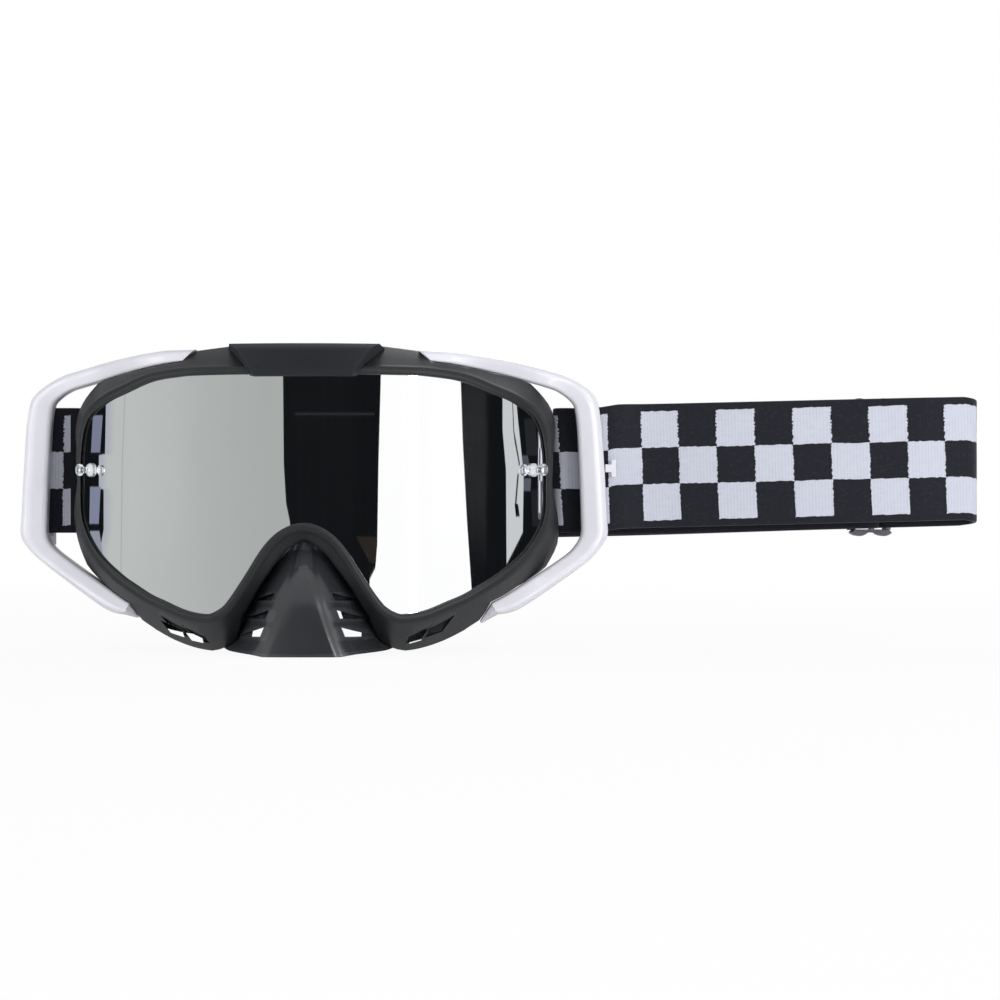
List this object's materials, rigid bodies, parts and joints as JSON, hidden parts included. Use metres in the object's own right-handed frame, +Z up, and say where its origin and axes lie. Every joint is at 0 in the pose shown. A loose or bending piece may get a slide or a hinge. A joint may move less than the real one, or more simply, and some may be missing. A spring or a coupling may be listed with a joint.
{
  "type": "motocross goggles",
  "caption": "Motocross goggles: curved mirrored lens in a moulded frame with outrigger arms, nose guard, face foam and a checkered strap with a sliding buckle.",
  "frame": {"origin": "centre of the face seat: mid plane, height of the tear-off posts, 43.5 mm behind the foremost point of the lens", "axes": "+X to the viewer's right along the strap, +Y from the lens towards the face, +Z up"},
  "size_m": [0.3416, 0.093, 0.1027],
  "materials": {
    "frame": "fine matt grain",
    "brow": "smooth satin",
    "mirror_lens": "silver mirror coat",
    "clear_post": "clear gloss",
    "outrigger": "pearl white gloss",
    "hanger": "satin grey",
    "guard": "satin",
    "open_foam": "open cell foam",
    "dense_foam": "dense foam",
    "fleece": "brushed fleece",
    "filter_foam": "coarse open cell foam",
    "webbing": "woven elastic, dark navy and pale grey checks",
    "slider": "moulded satin",
    "tab": "white gloss"
  },
  "bodies": {
    "mask": {"main_frame": "frame", "brow_plate": "brow", "lens": "mirror_lens", "tear_off_post_left": "clear_post", "tear_off_post_right": "clear_post", "outrigger_left": "outrigger", "outrigger_right": "outrigger", "strap_hanger_left": "hanger", "strap_hanger_right": "hanger", "face_foam_base": "open_foam", "face_foam_middle": "dense_foam", "face_fleece": "fleece", "vent_foam_top": "filter_foam", "strap_front": "webbing", "strap_back": "webbing", "strap_loop_left": "webbing", "strap_return": "webbing", "strap_tab_left": "tab", "strap_tab_right": "tab"},
    "guard": {"nose_guard": "guard"},
    "slider": {"strap_slider": "slider", "strap_tail": "webbing"}
  },
  "joints": [
    {"name": "nose_guard_pull", "type": "slide", "parent": "mask", "child": "guard", "axis": [0, 0, -1], "range_m": [0, 0.045]},
    {"name": "strap_slide", "type": "slide", "parent": "mask", "child": "slider", "axis": [0.9996, 0, 0.028], "range_m": [-0.09, 0.02]}
  ]
}
